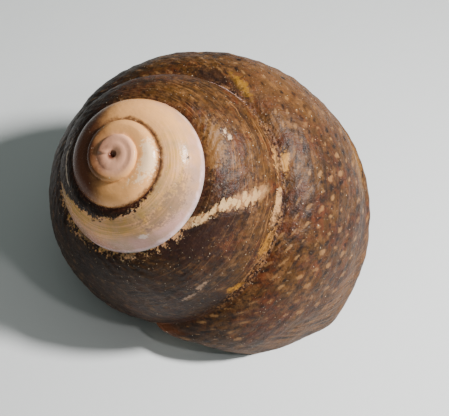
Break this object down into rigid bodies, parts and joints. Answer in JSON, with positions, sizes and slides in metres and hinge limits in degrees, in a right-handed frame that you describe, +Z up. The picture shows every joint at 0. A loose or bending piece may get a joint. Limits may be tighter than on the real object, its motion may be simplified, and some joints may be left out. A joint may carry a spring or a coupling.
{
  "type": "top shell",
  "caption": "Coiled top shell lying on its mouth, with a worn pale spire, a rounded spotted body whorl and a hollow that opens underneath.",
  "frame": {"origin": "middle of the shell's box, on the surface that it rests on", "axes": "+Z up from the surface; -Y to the front, where the worn spire and the side of the mouth show; +X to the right, where the body whorl is"},
  "size_m": [0.0276, 0.0254, 0.0216],
  "materials": {
    "shell": "worn satin shell, spotted brown with a pale pearly spire"
  },
  "bodies": {
    "root": {"shell": "shell"}
  },
  "joints": []
}
